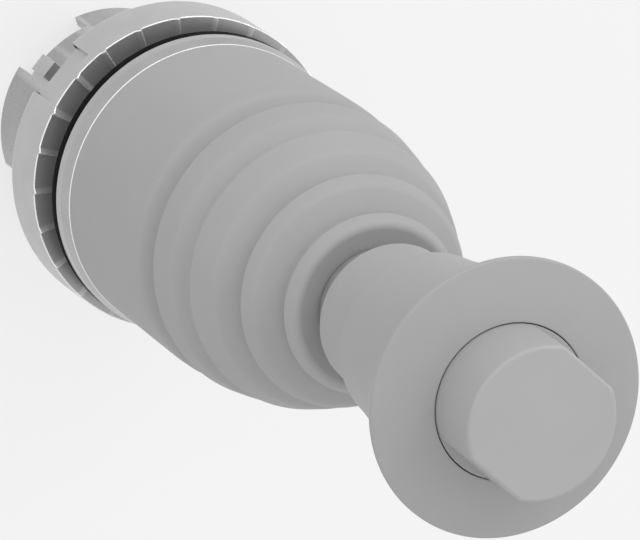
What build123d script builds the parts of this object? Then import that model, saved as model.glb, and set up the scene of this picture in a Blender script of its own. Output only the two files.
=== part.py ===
from build123d import *
from math import acos, cos, degrees, radians, sin, tan
import os

os.makedirs("parts", exist_ok=True)

# A panel joystick for a 22.5 mm hole. The origin is on the axis, at the rear face of the gasket, where it
# lies on the panel. +Z points out of the panel to the push button, +Y is the device's top.

# Panel hole and the pieces that clamp the panel
panel_hole_r = 11.25
barrel_gap = 0.10
gasket_t = 1.10
bezel_r = 14.75
bezel_h = 2.64
bezel_taper = 0.36
bezel_chamfer = 0.30
bezel_floor_t = 1.00
bezel_wall = 0.89
bezel_bore_gap = 0.15
seat_gap = 0.10

# Die-cast housing
barrel_wall = 1.55
guide_step = 0.25
socket_step = 0.35
socket_len = 1.67
mouth_depth = 3.00
rim_h = 2.70
rim_wall = 2.90
flange_t = 1.00
lug_len = 3.20
lug_count = 4
lug_gap_angle = 38
lug_angle = 35
key_w = 1.80
key_h = 0.85
key_root = 0.30
key_lift = 1.00
key_len = 3.00
key_angle = 92

# Locking collar
collar_gap = 2.15
collar_r = 15.53
collar_h = 6.20
collar_fit = 0.05
collar_thread_wall = 1.40
collar_rim_wall = 1.33
collar_groove_depth = 3.40
collar_pocket_angle = 91
collar_pocket_w = 5.80
collar_pocket_len = 4.25
collar_pocket_depth = 1.00
collar_key_gap = 0.30
tooth_count = 24
tooth_h = 0.45
tooth_ramp = 0.75
tooth_inset = 1.10

# Tilting: two crossed pivots, the same limit both ways on each
tilt_limit = 12
pivot_z = -3.60
pin_r = 0.80
pin_running_gap = 0.03
press_gap = 0.01
gimbal_gap = 0.40
gimbal_wall = 2.20
gimbal_h = 3.20
hub_gap = 0.80
hub_h = 4.00

# Lever tube, its swash plate and clip
lever_r = 3.20
lever_body_r = 4.20
lever_body_z = 9.00
rod_r = 1.50
rod_running_gap = 0.08
swash_drop = 3.80
swash_t = 1.20
swash_gap = 1.20
clip_t = 0.50
clip_r = 3.90
clip_groove = 0.30
lever_tail = 0.30

# Plungers and their guide
plunger_inset = 1.60
plunger_r = 1.10
plunger_gap = 0.40
plunger_collar_r = 1.84
plunger_collar_drop = 3.30
plunger_collar_t = 0.70
plunger_tip_r = 0.90
plunger_tip_out = 0.30
plunger_pocket_gap = 0.06
plunger_count = 4
guide_clearance = 0.40
guide_h = 5.50
guide_floor_t = 1.30
guide_fit = 0.05
guide_web = 0.50
guide_clip_in = 0.80
guide_clip_groove = 0.45

# Gate ring, which clamps the boot's foot
gate_t = 1.20
gate_skirt_t = 0.60
gate_clearance = 0.30
gate_screw_count = 4
gate_screw_r = 0.95
gate_screw_head_r = 1.60
gate_screw_head_h = 0.80
gate_screw_depth = 1.90
gate_slot_w = 0.40
gate_slot_depth = 0.35

# Rubber boot: its outline goes on from the bezel in steps, each a height and a change of radius. A fold
# goes out to its crest, along its land and down to the next valley. The cap's steps are each a height and
# how far the outline lies outside the neck that grips the lever's bush
boot_wall = 1.10
boot_foot_w = 1.40
boot_foot_h = 1.50
boot_barrel = ((5.36, 0.06), (4.90, 0.11), (5.10, 0.09), (2.50, -0.10))
boot_first_slope = (2.20, -1.25)
boot_folds = (
    ((0.75, 1.21), (3.65, -0.40), (2.25, -1.65)),
    ((0.75, 1.12), (4.10, -1.22), (2.05, -1.76)),
    ((0.70, 0.80), (2.15, -0.78)),
)
boot_cap = ((1.10, 2.70), (0.90, 3.60), (1.80, 2.84), (-0.80, 0.0))
boot_neck_wall = 0.30
crest_round = 0.40
land_round = 2.20
valley_round = 0.50
barrel_round = 20.0

# Boot seat on the lever
seat_groove_r = 4.90
seat_flange_out = 0.70
seat_groove_w = 1.60
seat_flange_t = 1.20

# Handle
handle_gap = 2.75
handle_neck_r = 7.11
handle_neck_len = 7.95
handle_step = 1.44
handle_step_round = 0.30
handle_flare_len = 16.50
handle_flare_sag = 0.60
handle_r = 13.28
handle_rim_out = 0.98
handle_rim_back = 1.40
handle_rim_t = 0.50
handle_face_rise = 1.10
handle_edge_round = 0.25
handle_bore_gap = 0.05
handle_floor_t = 3.50
nut_af = 9.00
nut_t = 2.20
lever_top_out = 0.70

# Interlock button
button_r = 7.36
button_gap = 0.09
button_proud = 7.10
button_engage = 8.00
button_travel = 3.00
button_flat_in = 0.76
button_round = 0.75
button_skirt_wall = 1.46
button_head_wall = 1.30
button_roof_t = 2.60
button_boss_r = 2.80
button_boss_in = 0.80
button_spring_room = 5.70
hook_w = 4.00
hook_out = 0.75
hook_h = 1.20
hook_gap = 0.10
rod_top_drop = 2.70
rod_tip_out = 0.40

# Springs
button_spring_gap = 0.90
button_spring_wire = 0.30
button_spring_turns = 3.5
plunger_spring_r = 1.50
plunger_spring_wire = 0.15
plunger_spring_turns = 3.5
spring_end_gap = 0.05

# Radii that follow from the sizes above
barrel_r = panel_hole_r - barrel_gap
bezel_bore_r = barrel_r + bezel_bore_gap
bezel_front_r = bezel_r - bezel_taper
bezel_seat_r = bezel_front_r - bezel_wall
flange_r = bezel_seat_r - seat_gap
boot_foot_in = flange_r - boot_foot_w
rim_r = boot_foot_in - seat_gap
mouth_r = rim_r - rim_wall
gate_skirt_in = rim_r + seat_gap
gate_skirt_r = gate_skirt_in + gate_skirt_t
screw_circle_r = (mouth_r + rim_r) / 2
upper_bore_r = barrel_r - barrel_wall
guide_bore_r = upper_bore_r + guide_step
socket_r = guide_bore_r + socket_step
collar_bore_r = barrel_r + collar_fit
collar_groove_in = collar_bore_r + collar_thread_wall
collar_groove_out = collar_r - collar_rim_wall
tooth_in_r = collar_bore_r + tooth_inset
gimbal_r = upper_bore_r - gimbal_gap
gimbal_bore_r = gimbal_r - gimbal_wall
hub_r = gimbal_bore_r - hub_gap
swash_r = upper_bore_r - swash_gap
plunger_circle_r = swash_r - plunger_inset
plunger_pocket_r = plunger_collar_r + plunger_pocket_gap
guide_hole_r = plunger_circle_r - plunger_pocket_r - guide_web
seat_flange_r = seat_groove_r + seat_flange_out
handle_socket_r = seat_flange_r + seat_gap
handle_step_r = handle_neck_r + handle_step
handle_under_r = handle_r - handle_rim_out
cavity_r = button_r + button_gap
button_flat = button_r - button_flat_in
button_skirt_r = button_r - button_skirt_wall
button_head_r = button_flat - button_head_wall
button_spring_r = cavity_r - button_spring_gap

# Heights that follow, from the panel inwards
bezel_z = gasket_t
bezel_top = bezel_z + bezel_h
flange_z = bezel_z + bezel_floor_t
housing_face = flange_z + flange_t
rim_top = housing_face + rim_h
gate_top = rim_top + gate_t
collar_top = -collar_gap
collar_bottom = collar_top - collar_h
collar_face = collar_top - tooth_h
lean = degrees(acos(cos(radians(tilt_limit)) ** 2))
gate_r = (gate_top - pivot_z) * tan(radians(lean)) + lever_r / cos(radians(lean)) + gate_clearance
swash_top = pivot_z - swash_drop
swash_rear = swash_top - swash_t
swash_low = pivot_z - (pivot_z - swash_rear) * cos(radians(lean)) - swash_r * sin(radians(lean))
clip_bottom = swash_rear - clip_t
lever_bottom = clip_bottom - lever_tail
plunger_top = swash_rear - plunger_gap
plunger_collar_top = plunger_top - plunger_collar_drop
plunger_collar_bottom = plunger_collar_top - plunger_collar_t
guide_top = swash_low - guide_clearance
guide_rear = guide_top - guide_h
guide_floor = guide_rear + guide_floor_t
gap_bottom = guide_rear - clip_t - socket_len
housing_rear = gap_bottom - lug_len
key_z = gap_bottom + key_lift

# The boot's outline, and the heights along the handle
boot_zr = [(bezel_top, bezel_front_r)]
fold_steps = [step for fold in boot_folds for step in fold]
for rise, out in (*boot_barrel, boot_first_slope, *fold_steps):
    boot_zr.append((boot_zr[-1][0] + rise, boot_zr[-1][1] + out))
boot_neck_r = seat_groove_r + seat_gap + boot_neck_wall
for rise, out in boot_cap:
    boot_zr.append((boot_zr[-1][0] + rise, boot_neck_r + out))
boot_lip_z = boot_zr[-2][0]
boot_neck_z = boot_zr[-1][0]
seat_bottom = boot_neck_z - seat_groove_w - seat_flange_t
handle_z = boot_lip_z + handle_gap
handle_step_z = handle_z + handle_neck_len
handle_under_z = handle_step_z + handle_flare_len
handle_rim_z = handle_under_z + handle_rim_back
handle_front_z = handle_rim_z + handle_rim_t
handle_face_z = handle_front_z + handle_face_rise
button_top_z = handle_face_z + button_proud
button_skirt_z = handle_face_z - button_engage
button_boss_z = button_skirt_z + button_boss_in
handle_floor_z = button_skirt_z - button_spring_room
seat_top = handle_floor_z - handle_floor_t
lever_top = handle_floor_z + nut_t + lever_top_out
rod_top_z = button_top_z - button_roof_t - rod_top_drop


# Gasket between the bezel and the panel
with BuildPart() as gasket:
    with BuildSketch():
        Circle(bezel_r)
        Circle(bezel_bore_r, mode=Mode.SUBTRACT)
    extrude(amount=gasket_t)

gasket.part.label = "panel_gasket"
export_step(gasket.part, "parts/panel_gasket.step")


# Bezel: a shallow cup whose floor lies on the gasket
with BuildPart() as bezel:
    with BuildSketch(Plane.XZ):
        with BuildLine():
            Polyline(
                (bezel_bore_r, bezel_z),
                (bezel_r, bezel_z),
                (bezel_r, bezel_top - bezel_chamfer - bezel_h / 2),
                (bezel_front_r + bezel_chamfer, bezel_top - bezel_chamfer),
                (bezel_front_r, bezel_top),
                (bezel_seat_r, bezel_top),
                (bezel_seat_r, flange_z),
                (bezel_bore_r, flange_z),
                close=True,
            )
        make_face()
    revolve(axis=Axis.Z)

bezel.part.label = "bezel_ring"
export_step(bezel.part, "parts/bezel_ring.step")


# Housing: barrel through the panel hole, flange on the bezel's floor, rim inside the boot
with BuildPart() as housing:
    with BuildSketch(Plane.XZ):
        with BuildLine():
            Polyline(
                (socket_r, housing_rear),
                (barrel_r, housing_rear),
                (barrel_r, flange_z),
                (flange_r, flange_z),
                (flange_r, housing_face),
                (rim_r, housing_face),
                (rim_r, rim_top),
                (mouth_r, rim_top),
                (mouth_r, rim_top - mouth_depth),
                (upper_bore_r, rim_top - 2 * mouth_depth),
                (upper_bore_r, guide_top),
                (guide_bore_r, guide_top),
                (guide_bore_r, guide_rear),
                (socket_r + guide_clip_groove, guide_rear),
                (socket_r + guide_clip_groove, guide_rear - clip_t),
                (socket_r, guide_rear - clip_t),
                close=True,
            )
        make_face()
    revolve(axis=Axis.Z)
    # Gaps between the rear lugs
    half_gap = radians(lug_gap_angle / 2)
    gap_reach = 2 * barrel_r
    with BuildSketch(Plane.XY.offset(housing_rear)):
        with PolarLocations(0, lug_count, start_angle=lug_angle + 180 / lug_count):
            Polygon(
                (0, 0),
                (gap_reach * cos(half_gap), -gap_reach * sin(half_gap)),
                (gap_reach * cos(half_gap), gap_reach * sin(half_gap)),
                align=None,
            )
    extrude(amount=lug_len, mode=Mode.SUBTRACT)
    # Key at the top of the barrel, which sets the contact blocks upright
    with BuildSketch(Plane.XY.offset(key_z)):
        with PolarLocations(0, 1, start_angle=key_angle):
            with Locations((barrel_r, 0)):
                Rectangle(2 * key_h, key_w)
        Circle(barrel_r - key_root, mode=Mode.SUBTRACT)
    extrude(amount=key_len)
    # Holes of the outer gimbal pins and of the gate ring's screws
    with BuildSketch(Plane.YZ.offset(-barrel_r)):
        with Locations((0, pivot_z)):
            Circle(pin_r + press_gap)
    extrude(amount=2 * barrel_r, mode=Mode.SUBTRACT)
    with BuildSketch(Plane.XY.offset(rim_top - gate_screw_depth)):
        with PolarLocations(screw_circle_r, gate_screw_count, start_angle=180 / gate_screw_count):
            Circle(gate_screw_r + press_gap)
    extrude(amount=gate_screw_depth, mode=Mode.SUBTRACT)

housing.part.label = "barrel_housing"
export_step(housing.part, "parts/barrel_housing.step")


# One tooth of the collar: a radial ridge, upright on its first side and a short ramp on the other
tooth_slope = tooth_h / tooth_ramp
with BuildPart() as tooth:
    with BuildSketch(Plane.XZ):
        with Locations(((tooth_in_r + collar_r) / 2, (collar_face + collar_top) / 2)):
            Rectangle(collar_r - tooth_in_r, tooth_h)
    revolve(axis=Axis.Z, revolution_arc=360 / tooth_count)
    split(
        bisect_by=Plane(origin=(0, 0, collar_top), x_dir=(1, 0, 0), z_dir=(0, tooth_slope, 1)),
        keep=Keep.BOTTOM,
    )

# Locking collar: screwed on the barrel from behind, its teeth bite into the panel
with BuildPart() as collar:
    with BuildSketch(Plane.XZ):
        with BuildLine():
            Polyline(
                (collar_bore_r, collar_bottom),
                (collar_groove_in, collar_bottom),
                (collar_groove_in, collar_bottom + collar_groove_depth),
                (collar_groove_out, collar_bottom + collar_groove_depth),
                (collar_groove_out, collar_bottom),
                (collar_r, collar_bottom),
                (collar_r, collar_face),
                (collar_bore_r, collar_face),
                close=True,
            )
        make_face()
    revolve(axis=Axis.Z)
    with PolarLocations(0, tooth_count):
        add(tooth.part)
    # Groove in the bore that lets the collar pass the barrel's key
    with BuildSketch(Plane.XY.offset(collar_bottom)):
        with PolarLocations(0, 1, start_angle=key_angle):
            with Locations((barrel_r, 0)):
                Rectangle(2 * (key_h + collar_key_gap), key_w + 2 * collar_key_gap)
    extrude(amount=collar_h, mode=Mode.SUBTRACT)
    # Pocket in the outside, open to the rear
    with BuildSketch(Plane.XY.offset(collar_bottom)):
        with PolarLocations(0, 1, start_angle=collar_pocket_angle):
            with Locations((collar_r, 0)):
                Rectangle(2 * collar_pocket_depth, collar_pocket_w)
    extrude(amount=collar_pocket_len, mode=Mode.SUBTRACT)

collar.part.label = "locking_collar"
export_step(collar.part, "parts/locking_collar.step")


# Gate ring: clamps the boot's foot, and its round opening stops the lever
with BuildPart() as gate:
    with BuildSketch(Plane.XZ):
        with BuildLine():
            Polyline(
                (gate_r, rim_top),
                (gate_skirt_in, rim_top),
                (gate_skirt_in, housing_face + boot_foot_h),
                (gate_skirt_r, housing_face + boot_foot_h),
                (gate_skirt_r, gate_top),
                (gate_r, gate_top),
                close=True,
            )
        make_face()
    revolve(axis=Axis.Z)
    with BuildSketch(Plane.XY.offset(rim_top)):
        with PolarLocations(screw_circle_r, gate_screw_count, start_angle=180 / gate_screw_count):
            Circle(gate_screw_r + seat_gap)
    extrude(amount=gate_t, mode=Mode.SUBTRACT)

gate.part.label = "gate_ring"
export_step(gate.part, "parts/gate_ring.step")


# Screws of the gate ring, with a driver slot
with BuildPart() as gate_screws:
    with BuildSketch(Plane.XY.offset(rim_top - gate_screw_depth)):
        with PolarLocations(screw_circle_r, gate_screw_count, start_angle=180 / gate_screw_count):
            Circle(gate_screw_r)
    extrude(amount=gate_screw_depth + gate_t)
    with BuildSketch(Plane.XY.offset(gate_top)):
        with PolarLocations(screw_circle_r, gate_screw_count, start_angle=180 / gate_screw_count):
            Circle(gate_screw_head_r)
    extrude(amount=gate_screw_head_h)
    with BuildSketch(Plane.XY.offset(gate_top + gate_screw_head_h)):
        with PolarLocations(screw_circle_r, gate_screw_count, start_angle=180 / gate_screw_count):
            Rectangle(2 * gate_screw_head_r, gate_slot_w)
    extrude(amount=-gate_slot_depth, mode=Mode.SUBTRACT)

gate_screws.part.label = "gate_screws"
export_step(gate_screws.part, "parts/gate_screws.step")


# Corners of a line one wall further in, to the left of its way
def inward(points, wall):
    corners = []
    for before, here, after in zip(points, points[1:], points[2:]):
        arriving = (Vector(here) - Vector(before)).normalized()
        leaving = (Vector(after) - Vector(here)).normalized()
        in_a = Vector(-arriving.Y, arriving.X)
        in_b = Vector(-leaving.Y, leaving.X)
        corner = Vector(here) + (in_a + in_b) * wall / (1 + in_a.dot(in_b))
        corners.append((corner.X, corner.Y))
    return corners


# Rubber boot: a straight barrel, three folds and a cap that closes on the lever
outer_rz = [(r, z) for z, r in boot_zr]
inner_rz = inward(outer_rz, boot_wall)
barrel_rounds = [barrel_round] * (len(boot_barrel) - 1)
fold_rounds = [land_round, valley_round, crest_round] * len(boot_folds)
outer_rounds = [*barrel_rounds, *fold_rounds, land_round, valley_round, crest_round, crest_round]
with BuildPart() as boot:
    with BuildSketch(Plane.XZ):
        with BuildLine():
            FilletPolyline(*outer_rz, radius=outer_rounds)
            Polyline(
                outer_rz[-1],
                (seat_groove_r + seat_gap, boot_neck_z),
                (seat_groove_r + seat_gap, boot_neck_z - seat_groove_w),
                *reversed(inner_rz),
                (gate_skirt_r + seat_gap, gate_top),
                (gate_skirt_r + seat_gap, housing_face + boot_foot_h),
                (boot_foot_in, housing_face + boot_foot_h),
                (boot_foot_in, housing_face),
                (flange_r, housing_face),
                (flange_r, bezel_top),
                (bezel_front_r, bezel_top),
            )
        make_face()
    revolve(axis=Axis.Z)

boot.part.label = "rubber_boot"
export_step(boot.part, "parts/rubber_boot.step")


# Outer gimbal pins, pressed into the barrel along X, and inner ones, pressed into the hub along Y
with BuildPart() as outer_pins:
    for side in (1, -1):
        with BuildSketch(Plane.YZ.offset(side * (gimbal_bore_r + seat_gap))):
            with Locations((0, pivot_z)):
                Circle(pin_r)
        extrude(amount=side * (barrel_r - gimbal_bore_r - 2 * seat_gap))

outer_pins.part.label = "outer_gimbal_pins"
export_step(outer_pins.part, "parts/outer_gimbal_pins.step")

with BuildPart() as inner_pins:
    for side in (1, -1):
        with BuildSketch(Plane.XZ.offset(side * (lever_r + seat_gap))):
            with Locations((0, pivot_z)):
                Circle(pin_r)
        extrude(amount=side * (gimbal_r - lever_r - 2 * seat_gap))

inner_pins.part.label = "inner_gimbal_pins"
export_step(inner_pins.part, "parts/inner_gimbal_pins.step")


# Gimbal ring: turns on the outer pins and carries the lever on the inner ones
with BuildPart() as gimbal:
    with BuildSketch(Plane.XY.offset(pivot_z - gimbal_h / 2)):
        Circle(gimbal_r)
        Circle(gimbal_bore_r, mode=Mode.SUBTRACT)
    extrude(amount=gimbal_h)
    for plane in (Plane.YZ.offset(-gimbal_r), Plane.XZ.offset(-gimbal_r)):
        with BuildSketch(plane):
            with Locations((0, pivot_z)):
                Circle(pin_r + pin_running_gap)
        extrude(amount=2 * gimbal_r, mode=Mode.SUBTRACT)

gimbal.part.label = "gimbal_ring"
export_step(gimbal.part, "parts/gimbal_ring.step")


# Lever hub inside the gimbal ring
with BuildPart() as hub:
    with BuildSketch(Plane.XY.offset(pivot_z - hub_h / 2)):
        Circle(hub_r)
        Circle(lever_r + press_gap, mode=Mode.SUBTRACT)
    extrude(amount=hub_h)
    with BuildSketch(Plane.XZ.offset(-hub_r)):
        with Locations((0, pivot_z)):
            Circle(pin_r + press_gap)
    extrude(amount=2 * hub_r, mode=Mode.SUBTRACT)

hub.part.label = "lever_hub"
export_step(hub.part, "parts/lever_hub.step")


# Lever: a turned tube with a thicker middle, a groove for the clip, and the interlock rod's bore
with BuildPart() as lever:
    with BuildSketch(Plane.XZ):
        with BuildLine():
            Polyline(
                (rod_r + rod_running_gap, lever_bottom),
                (lever_r, lever_bottom),
                (lever_r, clip_bottom),
                (lever_r - clip_groove, clip_bottom),
                (lever_r - clip_groove, swash_rear),
                (lever_r, swash_rear),
                (lever_r, lever_body_z),
                (lever_body_r, lever_body_z + lever_body_r - lever_r),
                (lever_body_r, seat_bottom),
                (lever_r, seat_bottom),
                (lever_r, lever_top),
                (rod_r + rod_running_gap, lever_top),
                close=True,
            )
        make_face()
    revolve(axis=Axis.Z)

lever.part.label = "lever_tube"
export_step(lever.part, "parts/lever_tube.step")


# Swash plate on the lever's foot, and the clip that holds it
with BuildPart() as swash:
    with BuildSketch(Plane.XY.offset(swash_rear)):
        Circle(swash_r)
        Circle(lever_r + press_gap, mode=Mode.SUBTRACT)
    extrude(amount=swash_t)

swash.part.label = "swash_plate"
export_step(swash.part, "parts/swash_plate.step")

with BuildPart() as clip:
    with BuildSketch(Plane.XY.offset(clip_bottom)):
        Circle(clip_r)
        Circle(lever_r - clip_groove + press_gap, mode=Mode.SUBTRACT)
        with Locations((0, -clip_r)):
            Rectangle(lever_r, 2 * (clip_r - lever_r / 2), mode=Mode.SUBTRACT)
    extrude(amount=clip_t)

clip.part.label = "swash_clip"
export_step(clip.part, "parts/swash_clip.step")


# Plunger guide: pushed into the barrel from behind, up to its shoulder
with BuildPart() as guide:
    with BuildSketch(Plane.XY.offset(guide_rear)):
        Circle(guide_bore_r - guide_fit)
        Circle(guide_hole_r, mode=Mode.SUBTRACT)
    extrude(amount=guide_h)
    with Locations(Plane.XY.offset(guide_top)):
        with PolarLocations(plunger_circle_r, plunger_count):
            CounterBoreHole(
                radius=plunger_tip_r + guide_fit,
                counter_bore_radius=plunger_pocket_r,
                counter_bore_depth=guide_top - guide_floor,
            )

guide.part.label = "plunger_guide"
export_step(guide.part, "parts/plunger_guide.step")


# Open ring that holds the guide from behind
with BuildPart() as guide_clip:
    with BuildSketch(Plane.XY.offset(guide_rear - clip_t)):
        Circle(socket_r + guide_clip_groove - guide_fit)
        Circle(guide_bore_r - guide_clip_in, mode=Mode.SUBTRACT)
        with Locations((0, -socket_r)):
            Rectangle(clip_r, 2 * guide_clip_in + clip_r, mode=Mode.SUBTRACT)
    extrude(amount=clip_t)

guide_clip.part.label = "guide_clip"
export_step(guide_clip.part, "parts/guide_clip.step")


# Four plungers under the swash plate, each on its own spring
plunger_names = ("right", "top", "left", "bottom")
for index, side_name in enumerate(plunger_names):
    turn = radians(index * 360 / plunger_count)
    foot = (plunger_circle_r * cos(turn), plunger_circle_r * sin(turn))
    with BuildPart() as plunger:
        with BuildSketch(Plane.XZ):
            with BuildLine():
                Line((0, guide_rear - plunger_tip_out), (0, plunger_top))
                RadiusArc((0, plunger_top), (plunger_r, plunger_top - plunger_r), plunger_r)
                Polyline(
                    (plunger_r, plunger_top - plunger_r),
                    (plunger_r, plunger_collar_top),
                    (plunger_collar_r, plunger_collar_top),
                    (plunger_collar_r, plunger_collar_bottom),
                    (plunger_tip_r, plunger_collar_bottom),
                    (plunger_tip_r, guide_rear - plunger_tip_out),
                    (0, guide_rear - plunger_tip_out),
                )
            make_face()
        revolve(axis=Axis.Z)
    moved_plunger = Pos(foot[0], foot[1], 0) * plunger.part
    moved_plunger.label = f"plunger_{side_name}"
    export_step(moved_plunger, f"parts/plunger_{side_name}.step")

    spring_foot = guide_floor + plunger_spring_wire + spring_end_gap
    spring_len = plunger_collar_bottom - guide_floor - 2 * (plunger_spring_wire + spring_end_gap)
    with BuildPart() as plunger_spring:
        with BuildLine(Plane((foot[0], foot[1], spring_foot))) as coil:
            Helix(spring_len / plunger_spring_turns, spring_len, plunger_spring_r)
        with BuildSketch(coil.line ^ 0):
            Circle(plunger_spring_wire)
        sweep(is_frenet=True)
    plunger_spring.part.label = f"plunger_spring_{side_name}"
    export_step(plunger_spring.part, f"parts/plunger_spring_{side_name}.step")


# Bush on the lever that the boot's cap grips and the handle stands on
with BuildPart() as seat:
    with BuildSketch(Plane.XZ):
        with BuildLine():
            Polyline(
                (lever_r + press_gap, seat_bottom),
                (seat_flange_r, seat_bottom),
                (seat_flange_r, boot_neck_z - seat_groove_w - seat_gap),
                (seat_groove_r, boot_neck_z - seat_groove_w - seat_gap),
                (seat_groove_r, boot_neck_z + seat_gap),
                (seat_flange_r, boot_neck_z + seat_gap),
                (seat_flange_r, seat_top),
                (lever_r + press_gap, seat_top),
                close=True,
            )
        make_face()
    revolve(axis=Axis.Z)

seat.part.label = "boot_seat"
export_step(seat.part, "parts/boot_seat.step")


# Handle: a straight neck, a step out to the flare and a flange, with the button's cavity inside
flare_mid_r = (handle_step_r + handle_under_r) / 2 - handle_flare_sag
with BuildPart() as handle:
    with BuildSketch(Plane.XZ):
        with BuildLine():
            FilletPolyline(
                (lever_r + handle_bore_gap, handle_z),
                (handle_neck_r, handle_z),
                (handle_neck_r, handle_step_z),
                (handle_step_r - handle_step_round, handle_step_z),
                radius=handle_step_round,
            )
            RadiusArc(
                (handle_step_r - handle_step_round, handle_step_z),
                (handle_step_r, handle_step_z + handle_step_round),
                -handle_step_round,
            )
            ThreePointArc(
                (handle_step_r, handle_step_z + handle_step_round),
                (flare_mid_r, (handle_step_z + handle_under_z) / 2),
                (handle_under_r, handle_under_z),
            )
            FilletPolyline(
                (handle_under_r, handle_under_z),
                (handle_r, handle_rim_z),
                (handle_r, handle_front_z),
                (cavity_r, handle_face_z),
                radius=handle_edge_round,
            )
            Polyline(
                (cavity_r, handle_face_z),
                (lever_r + handle_bore_gap, handle_face_z),
                (lever_r + handle_bore_gap, handle_z),
            )
        make_face()
    revolve(axis=Axis.Z)
    with BuildSketch(Plane.XY.offset(handle_floor_z)):
        Circle(cavity_r)
    extrude(amount=handle_face_z - handle_floor_z, mode=Mode.SUBTRACT)
    with BuildSketch(Plane.XY.offset(handle_z)):
        Circle(handle_socket_r)
    extrude(amount=seat_top - handle_z, mode=Mode.SUBTRACT)
    # Pockets of the button's snap hooks, closed at the top
    pocket_z = button_skirt_z - button_travel - hook_gap
    with BuildSketch(Plane.XY.offset(pocket_z)):
        Rectangle(hook_w + 2 * hook_gap, 2 * (button_r + hook_out + hook_gap))
    extrude(amount=button_travel + hook_h + 2 * hook_gap, mode=Mode.SUBTRACT)

handle.part.label = "handle_grip"
export_step(handle.part, "parts/handle_grip.step")


# Nut that holds the handle on the lever
with BuildPart() as nut:
    with BuildSketch(Plane.XY.offset(handle_floor_z)):
        RegularPolygon(nut_af / 2, 6, major_radius=False)
        Circle(lever_r + press_gap, mode=Mode.SUBTRACT)
    extrude(amount=nut_t)

nut.part.label = "handle_nut"
export_step(nut.part, "parts/handle_nut.step")


# Interlock button: a hollow cap with two flats, a boss for the rod and two snap hooks
with BuildPart() as button:
    with BuildSketch(Plane.XY.offset(button_skirt_z)):
        Circle(button_r)
    extrude(amount=button_top_z - button_skirt_z)
    with BuildSketch(Plane.XY.offset(handle_face_z)):
        with Locations((button_r, 0), (-button_r, 0)):
            Rectangle(2 * button_flat_in, 2 * button_r)
    extrude(amount=button_proud, mode=Mode.SUBTRACT)
    fillet(button.faces().sort_by(Axis.Z)[-1].edges(), radius=button_round)
    with BuildSketch(Plane.XY.offset(button_skirt_z)):
        Circle(button_skirt_r)
    extrude(amount=button_engage - seat_gap, mode=Mode.SUBTRACT)
    with BuildSketch(Plane.XY.offset(button_skirt_z)):
        Circle(button_head_r)
    extrude(amount=button_top_z - button_roof_t - button_skirt_z, mode=Mode.SUBTRACT)
    with BuildSketch(Plane.XY.offset(button_boss_z)):
        Circle(button_boss_r)
    extrude(amount=button_top_z - button_roof_t - button_boss_z)
    with BuildSketch(Plane.XY.offset(button_boss_z)):
        Circle(rod_r + press_gap)
    extrude(amount=rod_top_z - button_boss_z, mode=Mode.SUBTRACT)
    with BuildSketch(Plane.XY.offset(button_skirt_z)):
        Rectangle(hook_w, 2 * (button_r + hook_out))
        Circle(button_skirt_r, mode=Mode.SUBTRACT)
    extrude(amount=hook_h)

button.part.label = "interlock_button"
export_step(button.part, "parts/interlock_button.step")


# Interlock rod through the lever
with BuildPart() as rod:
    with BuildSketch(Plane.XY.offset(lever_bottom - rod_tip_out)):
        Circle(rod_r)
    extrude(amount=rod_top_z - lever_bottom + rod_tip_out)
    chamfer(rod.faces().sort_by(Axis.Z)[0].edges(), length=rod_tip_out)

rod.part.label = "interlock_rod"
export_step(rod.part, "parts/interlock_rod.step")


# Button return spring, round the nut
button_spring_len = button_skirt_z - handle_floor_z - 2 * (button_spring_wire + spring_end_gap)
with BuildPart() as button_spring:
    with BuildLine(Plane.XY.offset(handle_floor_z + button_spring_wire + spring_end_gap)) as button_coil:
        Helix(button_spring_len / button_spring_turns, button_spring_len, button_spring_r)
    with BuildSketch(button_coil.line ^ 0):
        Circle(button_spring_wire)
    sweep(is_frenet=True)

button_spring.part.label = "button_spring"
export_step(button_spring.part, "parts/button_spring.step")
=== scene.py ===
import bmesh
import bpy
from math import acos, asin, atan2, cos, degrees, hypot, pi, radians, sin, sqrt, tan
from mathutils import Matrix, Vector


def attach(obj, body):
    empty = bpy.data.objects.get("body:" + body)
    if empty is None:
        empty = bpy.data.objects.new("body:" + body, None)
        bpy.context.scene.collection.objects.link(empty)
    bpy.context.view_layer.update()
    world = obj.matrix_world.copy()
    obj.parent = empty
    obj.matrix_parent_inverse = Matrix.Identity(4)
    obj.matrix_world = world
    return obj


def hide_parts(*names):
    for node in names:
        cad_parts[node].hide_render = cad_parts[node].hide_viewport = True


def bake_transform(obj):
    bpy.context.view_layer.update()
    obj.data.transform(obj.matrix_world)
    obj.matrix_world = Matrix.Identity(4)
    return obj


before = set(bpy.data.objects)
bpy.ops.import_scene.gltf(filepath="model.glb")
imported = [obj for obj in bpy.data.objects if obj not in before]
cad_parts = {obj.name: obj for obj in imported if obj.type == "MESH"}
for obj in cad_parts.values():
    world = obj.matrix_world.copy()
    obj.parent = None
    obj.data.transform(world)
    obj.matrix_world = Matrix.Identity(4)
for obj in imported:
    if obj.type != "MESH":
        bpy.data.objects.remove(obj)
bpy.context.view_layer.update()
mm = 0.001


# Camera, at the photo's angle

camera = {
    "place": (-47.6, 542.6, 1023.4),  # mm, in the part's frame
    "forward": (0.0419, -0.4792, -0.8767),
    "up": (0.7710, 0.5734, -0.2765),
    "lens": 681.9,
    "sensor": 36.0,
    "near": 0.05,  # m
    "far": 20.0,  # m
}


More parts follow.
